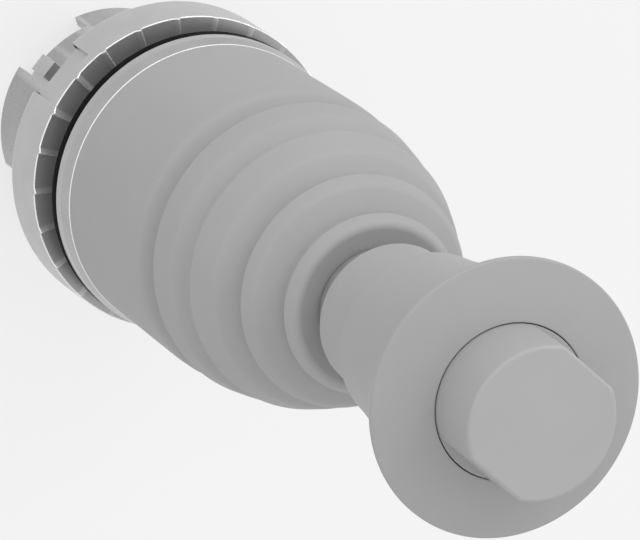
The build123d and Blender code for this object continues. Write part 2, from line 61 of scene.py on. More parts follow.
def placeCamera():
    data = bpy.data.cameras.new("photoCamera")
    data.type = "PERSP"
    data.lens = camera["lens"]
    data.sensor_width = camera["sensor"]
    data.clip_start = camera["near"]
    data.clip_end = camera["far"]
    eye = bpy.data.objects.new("photoCamera", data)
    bpy.context.scene.collection.objects.link(eye)
    back = -Vector(camera["forward"]).normalized()
    right = Vector(camera["up"]).cross(back).normalized()
    up = back.cross(right)
    turn = Matrix((right, up, back)).transposed().to_4x4()
    eye.matrix_world = Matrix.Translation(Vector(camera["place"]) * mm) @ turn
    bpy.context.scene.camera = eye


placeCamera()
print("camera placed")


# Materials

noiseLow, noiseHigh = 0.3, 0.7  # nearly all of a noise pattern lies between these


def newMaterial(name):
    material = bpy.data.materials.new(name)
    material.use_nodes = True
    return material, material.node_tree, material.node_tree.nodes["Principled BSDF"]


def millimetreCoords(tree):
    # object coordinates in millimetres, so that grain sizes below read as real sizes
    coords = tree.nodes.new("ShaderNodeTexCoord")
    mapping = tree.nodes.new("ShaderNodeMapping")
    mapping.inputs["Scale"].default_value = (1 / mm, 1 / mm, 1 / mm)
    tree.links.new(coords.outputs["Object"], mapping.inputs["Vector"])
    return mapping.outputs["Vector"]


def noise(tree, vector, scale, detail=3.0, roughness=0.5):
    node = tree.nodes.new("ShaderNodeTexNoise")
    node.inputs["Scale"].default_value = scale
    node.inputs["Detail"].default_value = detail
    node.inputs["Roughness"].default_value = roughness
    tree.links.new(vector, node.inputs["Vector"])
    return node.outputs["Fac"]


def spread(tree, factor, low, high, fromLow=noiseLow, fromHigh=noiseHigh):
    node = tree.nodes.new("ShaderNodeMapRange")
    node.inputs["From Min"].default_value = fromLow
    node.inputs["From Max"].default_value = fromHigh
    node.inputs["To Min"].default_value = low
    node.inputs["To Max"].default_value = high
    tree.links.new(factor, node.inputs["Value"])
    return node.outputs["Result"]


def greyTint(tree, factor, dark, light):
    ramp = tree.nodes.new("ShaderNodeValToRGB")
    stops = ramp.color_ramp.elements
    for index, (place, tone) in enumerate(((noiseLow, dark), (noiseHigh, light))):
        stops[index].position = place
        stops[index].color = (tone, tone, tone, 1.0)
    tree.links.new(factor, ramp.inputs["Fac"])
    return ramp.outputs["Color"]


def bump(tree, shader, height, strength, depth):
    node = tree.nodes.new("ShaderNodeBump")
    node.inputs["Strength"].default_value = strength
    node.inputs["Distance"].default_value = depth * mm
    tree.links.new(height, node.inputs["Height"])
    tree.links.new(node.outputs["Normal"], shader.inputs["Normal"])


softRelief = 0.35  # strength of the grain's bump
plainGloss = 0.5

finishes = {
    # tone from dark to light, its patches in 1/mm, roughness, grain in 1/mm, its depth in mm, and
    # a gloss where it isn't the plain one
    "handlePlastic": dict(
        tone=(0.366, 0.380), patch=0.12, rough=(0.50, 0.58), grain=9.0, depth=0.004),
    # painted light: the handle's grey plastic made lighter for the button, standing in for the
    # light its top catches
    "buttonPlasticPaintedLight": dict(
        tone=(0.396, 0.410), patch=0.12, rough=(0.46, 0.54), grain=9.0, depth=0.004),
    "bootRubber": dict(
        tone=(0.368, 0.384), patch=0.10, rough=(0.58, 0.68), grain=6.0, depth=0.006),
    # black rubber, made darker still and nearly without gloss as painted shade of the gap between
    # bezel and collar
    "gasketRubberAndShade": dict(
        tone=(0.002, 0.004), patch=0.30, rough=(0.70, 0.80), grain=5.0, depth=0.010, gloss=0.08),
    "guidePlastic": dict(
        tone=(0.012, 0.018), patch=0.20, rough=(0.42, 0.52), grain=8.0, depth=0.010),
    "plungerPlastic": dict(
        tone=(0.72, 0.80), patch=0.30, rough=(0.35, 0.45), grain=8.0, depth=0.006),
}


def softFinish(name):
    looks = finishes[name]
    material, tree, shader = newMaterial(name)
    vector = millimetreCoords(tree)
    patches = noise(tree, vector, looks["patch"], detail=4.0)
    grain = noise(tree, vector, looks["grain"], detail=2.0, roughness=0.6)
    tree.links.new(greyTint(tree, patches, *looks["tone"]), shader.inputs["Base Color"])
    tree.links.new(spread(tree, grain, *looks["rough"]), shader.inputs["Roughness"])
    shader.inputs["Specular IOR Level"].default_value = looks.get("gloss", plainGloss)
    bump(tree, shader, grain, softRelief, looks["depth"])
    return material


metalRelief = 0.25  # strength of the grain's bump
metalPatch = 0.25  # patches of tone, in 1/mm
lathe = {"rings": 2.2, "wander": 0.4}

metals = {
    # tone from dark to light, metallic share, roughness, grain in 1/mm, its depth in mm
    "bezelChrome": dict(
        tone=(0.40, 0.46), metal=0.95, rough=(0.16, 0.22), grain=1.2, depth=0.0003),
    "collarChrome": dict(
        tone=(0.46, 0.50), metal=0.65, rough=(0.30, 0.36), grain=1.2, depth=0.0003),
    "castChrome": dict(
        tone=(0.46, 0.52), metal=0.85, rough=(0.26, 0.32), grain=1.2, depth=0.0004),
    # painted highlight: a near-white metal for narrow edge faces and the collar's risers, standing
    # in for the light they catch
    "paintedEdgeHighlight": dict(
        tone=(0.88, 0.94), metal=0.60, rough=(0.24, 0.30), grain=1.5, depth=0.0003),
    "turnedSteel": dict(
        tone=(0.46, 0.54), metal=1.0, rough=(0.24, 0.34), grain=4.0, depth=0.002),
    "springWire": dict(
        tone=(0.40, 0.50), metal=1.0, rough=(0.22, 0.30), grain=12.0, depth=0.001),
}


def metalFinish(name, lathed):
    looks = metals[name]
    material, tree, shader = newMaterial(name)
    shader.inputs["Metallic"].default_value = looks["metal"]
    vector = millimetreCoords(tree)
    cloud = noise(tree, vector, metalPatch, detail=4.0)
    grain = noise(tree, vector, looks["grain"], detail=3.0, roughness=0.6)
    tree.links.new(greyTint(tree, cloud, *looks["tone"]), shader.inputs["Base Color"])
    tree.links.new(spread(tree, grain, *looks["rough"]), shader.inputs["Roughness"])
    height = grain
    if lathed:
        # fine rings left by the lathe, round the long axis
        rings = tree.nodes.new("ShaderNodeTexWave")
        rings.wave_type = "BANDS"
        rings.bands_direction = "Z"
        rings.inputs["Scale"].default_value = lathe["rings"]
        rings.inputs["Distortion"].default_value = lathe["wander"]
        tree.links.new(vector, rings.inputs["Vector"])
        height = rings.outputs["Fac"]
    bump(tree, shader, height, metalRelief, looks["depth"])
    return material


materials = {name: softFinish(name) for name in finishes}
materials.update({name: metalFinish(name, name == "turnedSteel") for name in metals})
print("materials made:", len(materials))


# Meshes

def finishMesh(name, mesh, material):
    mesh.materials.clear()
    mesh.materials.append(material)
    mesh.polygons.foreach_set("use_smooth", [True] * len(mesh.polygons))
    piece = bpy.data.objects.new(name, mesh)
    bpy.context.scene.collection.objects.link(piece)
    return piece


def pieceFrom(name, shape, material):
    # a finished piece from a closed shape, with its faces outwards
    bmesh.ops.recalc_face_normals(shape, faces=shape.faces)
    mesh = bpy.data.meshes.new(name)
    shape.to_mesh(mesh)
    shape.free()
    return finishMesh(name, mesh, material)


def stitch(shape, ringA, ringB):
    # faces between two rings of as many points
    for k in range(len(ringA)):
        following = (k + 1) % len(ringA)
        shape.faces.new((ringA[k], ringA[following], ringB[following], ringB[k]))


def applyModifiers(piece):
    # the piece's modifiers become plain mesh
    graph = bpy.context.evaluated_depsgraph_get()
    mesh = bpy.data.meshes.new_from_object(piece.evaluated_get(graph))
    piece.modifiers.clear()
    piece.data = mesh


def sharpen(piece, angle):
    # edges that turn by more degrees than this stay crisp
    shape = bmesh.new()
    shape.from_mesh(piece.data)
    for edge in shape.edges:
        edge.smooth = len(edge.link_faces) == 2 and edge.calc_face_angle(0.0) < radians(angle)
    shape.to_mesh(piece.data)
    shape.free()


def evenShading(piece):
    # flats stay flat beside their rounded edges
    weighted = piece.modifiers.new("evenShading", "WEIGHTED_NORMAL")
    weighted.keep_sharp = True
    applyModifiers(piece)


paintedHighlightFaces = {
    "width": 0.22,  # mm, of a face that gets the painted highlight
    "longSide": 1.5,  # its long sides, to its shortest
    "bend": 4,  # degrees, at both of its long sides
}


def paintEdgeHighlights(piece):
    # painted highlight: the narrow faces that round a metal edge get a near-white metal, standing
    # in for the light they catch
    piece.data.materials.append(materials["paintedEdgeHighlight"])
    shape = bmesh.new()
    shape.from_mesh(piece.data)
    for face in shape.faces:
        lengths = [edge.calc_length() for edge in face.edges]
        shortest = min(lengths)
        bends = sorted(
            degrees(edge.calc_face_angle_signed(0.0))
            for edge, length in zip(face.edges, lengths) if length > paintedHighlightFaces["longSide"] * shortest
        )
        if shortest < paintedHighlightFaces["width"] * mm and len(bends) > 1:
            if bends[-1] > paintedHighlightFaces["bend"] and abs(bends[-2]) > paintedHighlightFaces["bend"]:
                face.material_index = 1
    shape.to_mesh(piece.data)
    shape.free()


# Turned shapes

def roundedOutline(corners, steps=6):
    # corners are (radius, height, rounding) in mm, in order round a closed section
    points = []
    count = len(corners)
    for here in range(count):
        before = Vector(corners[here - 1][:2])
        point = Vector(corners[here][:2])
        after = Vector(corners[(here + 1) % count][:2])
        radius = corners[here][2]
        if radius == 0:
            points.append(point)
            continue
        arriving = (point - before).normalized()
        leaving = (after - point).normalized()
        turn = acos(max(-1.0, min(1.0, arriving.dot(leaving))))
        reach = radius * tan(turn / 2)
        side = 1 if arriving.x * leaving.y - arriving.y * leaving.x > 0 else -1
        centre = point - arriving * reach + Vector((-arriving.y, arriving.x)) * radius * side
        start = point - arriving * reach - centre
        for step in range(steps + 1):
            angle = side * turn * step / steps
            points.append(centre + Vector((
                start.x * cos(angle) - start.y * sin(angle),
                start.x * sin(angle) + start.y * cos(angle),
            )))
    return [(point.x, point.y) for point in points]


def turned(name, outline, material, segments=240):
    # a closed section in mm turned about the axis
    turns = [2 * pi * k / segments for k in range(segments)]
    shape = bmesh.new()
    rings = [
        [shape.verts.new((r * mm * cos(turn), r * mm * sin(turn), z * mm)) for turn in turns]
        for r, z in outline
    ]
    for ringA, ringB in zip(rings, rings[1:] + rings[:1]):
        stitch(shape, ringA, ringB)
    return pieceFrom(name, shape, material)


# Bezel and gasket

bezel = {
    "bore": 11.30, "rear": 1.10, "radius": 14.75, "shoulder": 2.40, "frontRadius": 14.39,
    "seat": 13.50, "floor": 2.10, "front": 3.74,
    "edgeRound": 0.20, "rearRound": 0.10, "shoulderRound": 1.0,
}


def makeBezel():
    b = bezel
    ring = turned("bezelRing", roundedOutline([
        (b["bore"], b["rear"], 0.0),
        (b["radius"], b["rear"], b["rearRound"]),
        (b["radius"], b["shoulder"], b["shoulderRound"]),
        (b["frontRadius"], b["front"], b["edgeRound"]),
        (b["seat"], b["front"], b["rearRound"]),
        (b["seat"], b["floor"], 0.0),
        (b["bore"], b["floor"], 0.0),
    ]), materials["bezelChrome"])
    evenShading(ring)
    # painted highlight on the bezel's narrow edge faces
    paintEdgeHighlights(ring)
    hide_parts("bezel_ring")
    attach(ring, "root")


gasket = {"bore": 11.30, "radius": 14.75, "thickness": 1.10, "rearRound": 0.12, "frontRound": 0.05}


def makeGasket():
    g = gasket
    ring = turned("panelGasket", roundedOutline([
        (g["bore"], 0.0, 0.0),
        (g["radius"], 0.0, g["rearRound"]),
        (g["radius"], g["thickness"], g["frontRound"]),
        (g["bore"], g["thickness"], 0.0),
    ]), materials["gasketRubberAndShade"])
    evenShading(ring)
    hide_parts("panel_gasket")
    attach(ring, "root")


makeBezel()
makeGasket()
print("bezel and gasket made")


# Node trees, which the collar's teeth and the springs use

def startTree(name, inputs):
    # takes a geometry, the named inputs and a material
    tree = bpy.data.node_groups.new(name, "GeometryNodeTree")
    for label, kind in (("Geometry", "Geometry"), *inputs, ("Material", "Material")):
        tree.interface.new_socket(label, in_out="INPUT", socket_type="NodeSocket" + kind)
    tree.interface.new_socket("Geometry", in_out="OUTPUT", socket_type="NodeSocketGeometry")
    return tree, tree.nodes.new("NodeGroupInput")


def endTree(tree, given, geometry):
    real = tree.nodes.new("GeometryNodeRealizeInstances")
    paint = tree.nodes.new("GeometryNodeSetMaterial")
    result = tree.nodes.new("NodeGroupOutput")
    tree.links.new(geometry, real.inputs["Geometry"])
    tree.links.new(real.outputs["Geometry"], paint.inputs["Geometry"])
    tree.links.new(given.outputs["Material"], paint.inputs["Material"])
    tree.links.new(paint.outputs["Geometry"], result.inputs["Geometry"])


def useTree(piece, tree, values):
    # sets the modifier's inputs by their identifiers, then turns the result into plain mesh
    modifier = piece.modifiers.new(tree.name, "NODES")
    modifier.node_group = tree
    sockets = {
        item.name: item.identifier
        for item in tree.interface.items_tree
        if item.item_type == "SOCKET" and item.in_out == "INPUT"
    }
    for name, value in values.items():
        modifier[sockets[name]] = value
    applyModifiers(piece)


# Locking collar, with a ring of ridge teeth that mirror each other on both sides of one plane

collar = {
    "bore": 11.20, "radius": 15.53, "front": -2.15, "length": 6.20,
    "toothCount": 24, "toothHeight": 0.45, "toothInner": 12.30, "mirrorAngle": 82.5,
    "rampShare": 0.18, "riserShare": 0.045,
    "grooveInner": 12.60, "grooveOuter": 14.20, "grooveDepth": 3.40,
    "pocketAngle": 91.0, "pocketWidth": 5.80, "pocketLength": 4.25, "pocketDepth": 1.00,
    "edgeRound": 0.11, "rearRound": 0.22, "innerRound": 0.10, "lipRound": 0.08,
}

collarMesh = {
    "flatShares": (0.0, 0.012, 0.2, 0.4, 0.6),  # columns between two ramps, as shares of a tooth
    "columnGap": 0.02,  # degrees, the least between two columns
    # columns beside the pocket's sides in degrees, and rows beside its end in mm
    "pocketColumns": (-0.55, -0.10, 0.0, 0.12, 0.5), "pocketRows": (-0.08, -0.02, 0.0, 0.06),
    # mm: reach of the pocket's sides and of the groove's rim, and the step at the teeth's roots
    "sideBand": 0.20, "rimBand": 0.12, "rootDrop": 0.02, "slack": 0.01,
    "roundSteps": 4, "crease": 40,
    # the slope of a riser, as its normal's Z, and how far below the roots it may lie in mm
    "riserSlope": (0.25, 0.60), "riserBand": 0.05,
}


def toothTree():
    # presses the front face back, but for one ramp in every tooth that rises away from the plane
    floats = ("Tooth Count", "Tooth Height", "Mirror Angle", "Ramp Share", "Riser Share")
    tree, given = startTree("ratchetTeeth", [(label, "Float") for label in floats])
    nodes, links, value = tree.nodes, tree.links, given.outputs

    def math(operation, *values):
        node = nodes.new("ShaderNodeMath")
        node.operation = operation
        for socket, entry in zip(node.inputs, values):
            if isinstance(entry, (int, float)):
                socket.default_value = entry
            else:
                links.new(entry, socket)
        return node.outputs["Value"]

    place = nodes.new("GeometryNodeInputPosition")
    parts = nodes.new("ShaderNodeSeparateXYZ")
    links.new(place.outputs["Position"], parts.inputs["Vector"])
    around = math("ARCTAN2", parts.outputs["Y"], parts.outputs["X"])
    turn = math("SUBTRACT", around, value["Mirror Angle"])
    away = math("ABSOLUTE", math("WRAP", turn, pi, -pi))
    pitches = math("DIVIDE", math("MULTIPLY", away, value["Tooth Count"]), 2 * pi)
    left = math("SUBTRACT", 1.0, math("FRACT", math("SUBTRACT", pitches, 0.5)))
    ramp = math("DIVIDE", math("SUBTRACT", value["Ramp Share"], left), value["Ramp Share"])
    riser = math("DIVIDE", left, value["Riser Share"])
    rise = math("MAXIMUM", math("MINIMUM", ramp, riser), 0.0)
    drop = math("MULTIPLY", math("SUBTRACT", rise, 1.0), value["Tooth Height"])
    weight = nodes.new("GeometryNodeInputNamedAttribute")
    weight.data_type = "FLOAT"
    weight.inputs["Name"].default_value = "faceShare"
    down = nodes.new("ShaderNodeCombineXYZ")
    links.new(math("MULTIPLY", drop, weight.outputs["Attribute"]), down.inputs["Z"])
    move = nodes.new("GeometryNodeSetPosition")
    links.new(value["Geometry"], move.inputs["Geometry"])
    links.new(down.outputs["Vector"], move.inputs["Offset"])
    endTree(tree, given, move.outputs["Geometry"])
    return tree


def collarColumns():
    # angles in degrees: each tooth's ramp and riser, on both sides of the plane, and the pocket
    c = collar
    pitch = 360 / c["toothCount"]
    ramp, riser = c["rampShare"], c["riserShare"]
    shares = [*collarMesh["flatShares"], 1 - ramp, 1 - ramp / 2, 1 - 3 * riser, 1 - riser]
    angles = []
    for side in (1, -1):
        for tooth in range(-1, c["toothCount"] // 2):
            for share in shares:
                away = (tooth + share + 0.5) * pitch
                if 0 <= away < 180:
                    angles.append(c["mirrorAngle"] + side * away)
    edge = degrees(asin(c["pocketWidth"] / 2 / c["radius"]))
    for side in (-1, 1):
        for nudge in collarMesh["pocketColumns"]:
            angles.append(c["pocketAngle"] + side * (edge + nudge))
    columns = []
    for angle in sorted(angle % 360 for angle in angles):
        if not columns or angle - columns[-1] > collarMesh["columnGap"]:
            columns.append(angle)
    return columns


def pocketPlace(r, off):
    # a point of the outside, moved to the pocket's flat floor or its side, as radius and turn
    half = collar["pocketWidth"] / 2
    across = r * sin(off)
    if abs(across) > half - collarMesh["sideBand"]:
        across = half if across > 0 else -half
    along = min(collar["radius"] - collar["pocketDepth"], sqrt(r * r - across * across))
    return hypot(along, across), atan2(across, along)


def makeCollar():
    c, m = collar, collarMesh
    rear = c["front"] - c["length"]
    grooveTop = rear + c["grooveDepth"]
    pocketTop = rear + c["pocketLength"]
    root = c["front"] - c["toothHeight"]
    section = roundedOutline([
        (c["bore"], rear, c["innerRound"]),
        (c["grooveInner"], rear, c["innerRound"]),
        (c["grooveInner"], grooveTop, 0.0),
        (c["grooveOuter"], grooveTop, 0.0),
        (c["grooveOuter"], rear, c["innerRound"]),
        (c["radius"], rear, c["rearRound"]),
        *((c["radius"], pocketTop + nudge, 0.0) for nudge in m["pocketRows"]),
        (c["radius"], c["front"], c["edgeRound"]),
        (c["toothInner"], c["front"], c["lipRound"]),
        (c["toothInner"] - m["rootDrop"], root - m["rootDrop"], 0.0),
        (c["bore"], root - m["rootDrop"], c["innerRound"]),
    ], m["roundSteps"])
    onFace = c["front"] - c["edgeRound"] - m["slack"]
    pocketHalf = c["pocketWidth"] / 2 - m["slack"]
    shape = bmesh.new()
    share = shape.verts.layers.float.new("faceShare")
    columns = []
    for angle in collarColumns():
        off = radians(angle - c["pocketAngle"])
        inPocket = abs(sin(off)) * c["radius"] < pocketHalf and cos(off) > 0
        column = []
        for r, z in section:
            radius, turn = r, off
            if inPocket and r > c["grooveOuter"] + m["rimBand"] and z < pocketTop + m["slack"]:
                radius, turn = pocketPlace(r, off)
            spin = turn + radians(c["pocketAngle"])
            vert = shape.verts.new((radius * mm * cos(spin), radius * mm * sin(spin), z * mm))
            vert[share] = 1.0 if z > onFace else 0.0
            column.append(vert)
        columns.append(column)
    for a, b in zip(columns, columns[1:] + columns[:1]):
        for row in range(len(section)):
            following = (row + 1) % len(section)
            shape.faces.new((a[row], b[row], b[following], a[following]))
    ring = pieceFrom("lockingCollar", shape, materials["collarChrome"])
    useTree(ring, toothTree(), {
        "Tooth Count": float(c["toothCount"]),
        "Tooth Height": c["toothHeight"] * mm,
        "Mirror Angle": radians(c["mirrorAngle"]),
        "Ramp Share": c["rampShare"],
        "Riser Share": c["riserShare"],
        "Material": materials["collarChrome"],
    })
    sharpen(ring, m["crease"])
    evenShading(ring)
    # painted highlight on the collar's narrow edge faces
    paintEdgeHighlights(ring)
    low, high = m["riserSlope"]
    for face in ring.data.polygons:
        # painted highlight: the teeth's risers get the same near-white metal as the edges
        if low < face.normal.z < high and face.center.z > (root - m["riserBand"]) * mm:
            face.material_index = 1
    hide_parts("locking_collar")
    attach(ring, "root")


makeCollar()
print("collar made")


# Rubber boot, in two pieces that meet in a groove

boot = {
    "wall": 0.95, "foot": (14.39, 3.74), "split": 30.45, "bendFrom": 6.0, "bendTo": 42.6,
    # (radius, height, rounding) from the bezel to the lever
    "outside": [
        (14.45, 9.10, 20.0), (14.56, 14.00, 20.0), (14.65, 19.10, 20.0), (14.60, 21.05, 1.4),
        (12.70, 22.55, 0.6), (12.70, 23.95, 0.3),
        (14.51, 24.55, 0.35), (14.05, 27.85, 1.4), (12.85, 29.10, 0.6), (12.85, 30.65, 0.3),
        (13.58, 31.20, 0.35), (12.50, 34.70, 1.4), (10.10, 36.30, 0.6), (10.10, 37.45, 0.3),
        (11.40, 38.05, 0.35), (10.70, 39.70, 1.2), (7.90, 40.95, 0.6), (7.80, 41.80, 0.3),
        (8.85, 42.30, 0.35), (8.14, 44.00, 0.75),
    ],
    "neck": (5.30, 43.10), "grip": 5.00, "gripRear": 41.60,
    "roundSteps": 8, "segments": 288, "crease": 50,
    "splitLean": 0.01,  # of two points as near to the split, the one deeper in the groove
}


def inward(line, wall):
    # the corners of the same line one wall further in
    inner = []
    for before, here, after in zip(line, line[1:], line[2:]):
        arriving = (Vector(here) - Vector(before)).normalized()
        leaving = (Vector(after) - Vector(here)).normalized()
        inA = Vector((-arriving.y, arriving.x))
        inB = Vector((-leaving.y, leaving.x))
        corner = Vector(here) + (inA + inB) * wall / (1 + inA.dot(inB))
        inner.append((corner.x, corner.y))
    return inner


def nearestTo(height, line, lean=0.0):
    return min(range(len(line)), key=lambda k: abs(line[k][1] - height) + lean * line[k][0])


def makeBoot():
    b = boot
    corners = [(*b["foot"], 0.0), *b["outside"], (*b["neck"], 0.0)]
    outer = roundedOutline(corners, b["roundSteps"])
    inner = inward([point[:2] for point in corners], b["wall"])
    outerSplit = nearestTo(b["split"], outer, b["splitLean"])
    innerSplit = nearestTo(b["split"], inner)
    footRadius, footHeight = b["foot"]
    lowerLine = [*outer[:outerSplit + 1], *reversed(inner[:innerSplit + 1])]
    lowerLine.append((footRadius - b["wall"], footHeight))
    upperLine = [*outer[outerSplit:], (b["grip"], b["neck"][1]), (b["grip"], b["gripRear"])]
    upperLine += reversed(inner[innerSplit:])
    lower = turned("bootBarrel", lowerLine, materials["bootRubber"], b["segments"])
    upper = turned("bootFolds", upperLine, materials["bootRubber"], b["segments"])
    for piece in (lower, upper):
        sharpen(piece, b["crease"])
        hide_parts("rubber_boot")
    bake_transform(lower)
    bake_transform(upper)


makeBoot()
print("boot made")


# Handle and push button

handle = {
    "bore": 3.25, "rear": 46.75, "neck": 7.11, "step": (8.55, 54.70), "flare": (9.825, 62.95),
    "under": (12.30, 71.20), "rim": 13.28, "rimRear": 72.60, "rimFront": 73.10,
    "face": 74.20, "cavity": 7.45, "floor": 60.50, "socket": 5.70, "socketTop": 57.00,
    "edgeRound": 0.30, "socketRound": 0.15, "stepFootRound": 0.15, "stepEdgeRound": 0.29,
    "rimRound": 0.25, "mouthRound": 0.10, "flareSteps": 28, "segments": 256, "crease": 40,
}


def arcThrough(a, b, c, steps):
    # points on the circle through three points, from a to c
    (ax, ay), (bx, by), (cx, cy) = a, b, c
    sizeA, sizeB, sizeC = ax**2 + ay**2, bx**2 + by**2, cx**2 + cy**2
    d = 2 * (ax * (by - cy) + bx * (cy - ay) + cx * (ay - by))
    ux = (sizeA * (by - cy) + sizeB * (cy - ay) + sizeC * (ay - by)) / d
    uy = (sizeA * (cx - bx) + sizeB * (ax - cx) + sizeC * (bx - ax)) / d
    radius = hypot(ax - ux, ay - uy)
    first = atan2(ay - uy, ax - ux)
    last = atan2(cy - uy, cx - ux)
    if last - first > pi:
        last -= 2 * pi
    if first - last > pi:
        last += 2 * pi
    turns = [first + (last - first) * k / steps for k in range(steps + 1)]
    return [(ux + radius * cos(turn), uy + radius * sin(turn)) for turn in turns]


def makeHandle():
    h = handle
    stepRadius, stepHeight = h["step"]
    flareFoot = (stepRadius, stepHeight + h["edgeRound"])
    flare = arcThrough(flareFoot, h["flare"], h["under"], h["flareSteps"])
    outline = roundedOutline([
        (h["socket"], h["rear"], h["socketRound"]),
        (h["neck"], h["rear"], h["edgeRound"]),
        (h["neck"], stepHeight, h["stepFootRound"]),
        (stepRadius, stepHeight, h["stepEdgeRound"]),
        *((r, z, 0.0) for r, z in flare),
        (h["rim"], h["rimRear"], h["rimRound"]),
        (h["rim"], h["rimFront"], h["rimRound"]),
        (h["cavity"], h["face"], h["mouthRound"]),
        (h["cavity"], h["floor"], 0.0),
        (h["bore"], h["floor"], 0.0),
        (h["bore"], h["socketTop"], 0.0),
        (h["socket"], h["socketTop"], 0.0),
    ])
    grip = turned("handleGrip", outline, materials["handlePlastic"], h["segments"])
    sharpen(grip, h["crease"])
    evenShading(grip)
    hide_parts("handle_grip")
    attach(grip, "lever")


button = {
    "radius": 7.36, "ledge": 74.20, "top": 81.30, "flat": 6.60,
    "topRound": 0.35, "cornerRound": 0.50, "skirtRound": 0.10,
    "skirt": 66.20, "skirtBore": 5.90, "headBore": 5.30, "roof": 2.60,
    "rodBore": 1.51, "rodDepth": 1.0, "boss": 2.80, "bossRear": 67.00,
    "flatSteps": 12, "cornerSteps": 6, "roundSteps": 40, "edgeSteps": 8, "crease": 40,
}


def buttonRing(inset, flats):
    # the button's outline, drawn inset: a circle, or one cut by two flats with rounded corners
    b = button
    middleX = b["flat"] - b["cornerRound"]
    middleY = sqrt((b["radius"] - b["cornerRound"]) ** 2 - middleX ** 2)
    corner = atan2(middleY, middleX)
    radius = b["radius"] - inset
    reach = b["cornerRound"] - inset
    points = []
    for k in range(b["flatSteps"]):
        points.append((b["flat"] - inset, middleY * (2 * k / b["flatSteps"] - 1)))
    for k in range(b["cornerSteps"]):
        turn = corner * k / b["cornerSteps"]
        points.append((middleX + reach * cos(turn), middleY + reach * sin(turn)))
    for k in range(b["roundSteps"]):
        turn = corner + (pi - 2 * corner) * k / b["roundSteps"]
        points.append((radius * cos(turn), radius * sin(turn)))
    for k in range(b["cornerSteps"]):
        turn = pi - corner + corner * k / b["cornerSteps"]
        points.append((-middleX + reach * cos(turn), middleY + reach * sin(turn)))
    points += [(-x, -y) for x, y in points]
    if flats:
        return points
    turns = [atan2(y, x) for x, y in points]
    return [(radius * cos(turn), radius * sin(turn)) for turn in turns]


def circleOf(radius):
    # a circle with the same points as the button's outline
    points = []
    for x, y in buttonRing(0.0, False):
        scale = radius / hypot(x, y)
        points.append((scale * x, scale * y))
    return points


def makeButton():
    b = button
    ease = b["skirtRound"]
    levels = [
        (circleOf(b["skirtBore"]), b["skirt"]),
        (buttonRing(ease, False), b["skirt"]),
        (buttonRing(0.0, False), b["skirt"] + ease),
        (buttonRing(0.0, False), b["ledge"]),
        (buttonRing(0.0, True), b["ledge"]),
    ]
    for k in range(b["edgeSteps"] + 1):
        turn = pi / 2 * k / b["edgeSteps"]
        inset = b["topRound"] * (1 - cos(turn))
        levels.append((buttonRing(inset, True), b["top"] - b["topRound"] * (1 - sin(turn))))
    topLevel = len(levels) - 1
    roof = b["top"] - b["roof"]
    inside = [
        (b["rodBore"], roof - b["rodDepth"]), (b["rodBore"], b["bossRear"]),
        (b["boss"], b["bossRear"]), (b["boss"], roof), (b["headBore"], roof),
        (b["headBore"], b["ledge"] - ease), (b["skirtBore"], b["ledge"] - ease),
    ]
    levels += [(circleOf(radius), height) for radius, height in inside]
    shape = bmesh.new()
    rings = [
        [shape.verts.new((x * mm, y * mm, height * mm)) for x, y in outline]
        for outline, height in levels
    ]
    for level, (ringA, ringB) in enumerate(zip(rings, rings[1:] + rings[:1])):
        if level != topLevel:
            stitch(shape, ringA, ringB)
    shape.faces.new(rings[topLevel])
    shape.faces.new(rings[topLevel + 1])  # the end of the rod's bore
    knob = pieceFrom("pushButton", shape, materials["buttonPlasticPaintedLight"])
    sharpen(knob, b["crease"])
    evenShading(knob)
    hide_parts("interlock_button")
    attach(knob, "button")


makeHandle()
makeButton()
print("handle and button made")


# Springs: helices made by nodes, each between a given foot and top height

springs = {
    "turns": 3.5, "stepsPerTurn": 36, "wireSides": 12, "crease": 60,
    "plungerCircle": 6.80, "plungerRadius": 1.50, "plungerWire": 0.15,
    "plungerFoot": -15.23, "plungerTop": -13.20,
    "buttonRadius": 6.55, "buttonWire": 0.30, "buttonFoot": 60.85, "buttonTop": 65.85,
}


def springTree():
    inputs = [(label, "Float") for label in ("Turns", "Radius", "Height", "Wire")]
    inputs += [("Steps", "Int"), ("Sides", "Int"), ("Place", "Vector")]
    tree, given = startTree("coilSpring", inputs)
    nodes, links = tree.nodes, tree.links
    coil = nodes.new("GeometryNodeCurveSpiral")
    coilInputs = {
        "Resolution": "Steps", "Rotations": "Turns", "Start Radius": "Radius",
        "End Radius": "Radius", "Height": "Height",
    }
    for name, source in coilInputs.items():
        links.new(given.outputs[source], coil.inputs[name])
    wire = nodes.new("GeometryNodeCurvePrimitiveCircle")
    links.new(given.outputs["Sides"], wire.inputs["Resolution"])
    links.new(given.outputs["Wire"], wire.inputs["Radius"])
    skin = nodes.new("GeometryNodeCurveToMesh")
    links.new(coil.outputs["Curve"], skin.inputs["Curve"])
    links.new(wire.outputs["Curve"], skin.inputs["Profile Curve"])
    skin.inputs["Fill Caps"].default_value = True
    shift = nodes.new("GeometryNodeTransform")
    links.new(skin.outputs["Mesh"], shift.inputs["Geometry"])
    links.new(given.outputs["Place"], shift.inputs["Translation"])
    endTree(tree, given, shift.outputs["Geometry"])
    return tree


def makeSpring(name, tree, place, radius, wire, foot, top, node):
    s = springs
    x, y = place[0] * mm, place[1] * mm
    coil = finishMesh(name, bpy.data.meshes.new(name), materials["springWire"])
    useTree(coil, tree, {
        "Turns": s["turns"],
        "Steps": s["stepsPerTurn"],
        "Sides": s["wireSides"],
        "Radius": radius * mm,
        "Height": (top - foot) * mm,
        "Wire": wire * mm,
        "Place": (x, y, foot * mm),
        "Material": materials["springWire"],
    })
    sharpen(coil, s["crease"])
    coil.data.polygons.foreach_set("use_smooth", [True] * len(coil.data.polygons))
    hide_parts(node)
    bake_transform(coil)


